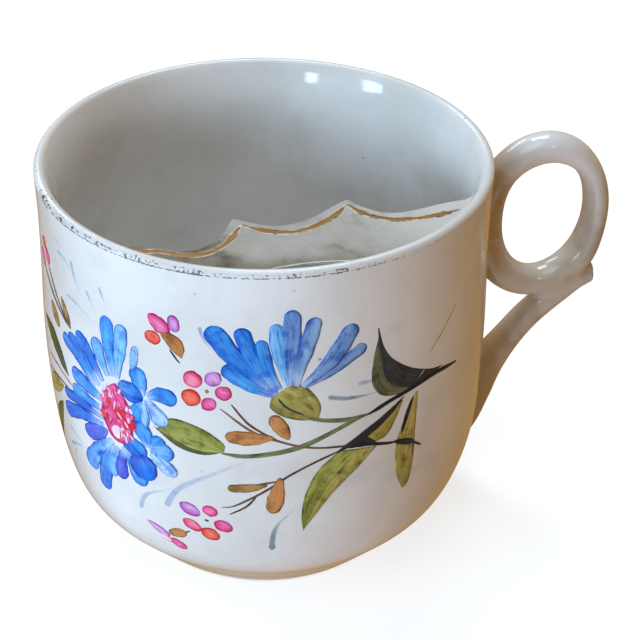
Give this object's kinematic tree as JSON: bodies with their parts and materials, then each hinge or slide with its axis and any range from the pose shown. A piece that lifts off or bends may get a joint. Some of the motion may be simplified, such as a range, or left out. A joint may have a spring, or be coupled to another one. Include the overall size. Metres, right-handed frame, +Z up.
{
  "type": "moustache cup",
  "caption": "Round porcelain drinking cup with a scalloped guard and sip opening inside its rim, a ring handle on a strut, a foot ring and gilt edges.",
  "frame": {"origin": "under the middle of the whole cup, handle included, on the plane that the foot ring stands on", "axes": "+X towards the handle, -Y towards the drinker and the guard, +Z up"},
  "size_m": [0.121, 0.0918, 0.0869],
  "materials": {
    "porcelain": "gloss",
    "slip": "satin",
    "gilding": "satin",
    "blue_enamel": "gloss",
    "pink_enamel": "gloss",
    "green_enamel": "gloss",
    "brown_enamel": "gloss",
    "grey_enamel": "gloss"
  },
  "bodies": {
    "root": {"cup_body": "porcelain", "foot_ring": "porcelain", "moustache_guard": "porcelain", "handle_ring": "porcelain", "handle_strut": "porcelain", "foot_slip_joint": "slip", "guard_slip_joint_left": "slip", "guard_slip_joint_right": "slip", "ring_slip_joint": "slip", "strut_slip_joint": "slip", "ring_to_strut_slip_joint": "slip", "rim_gilt_band": "gilding", "guard_gilt_line": "gilding"}
  },
  "joints": []
}
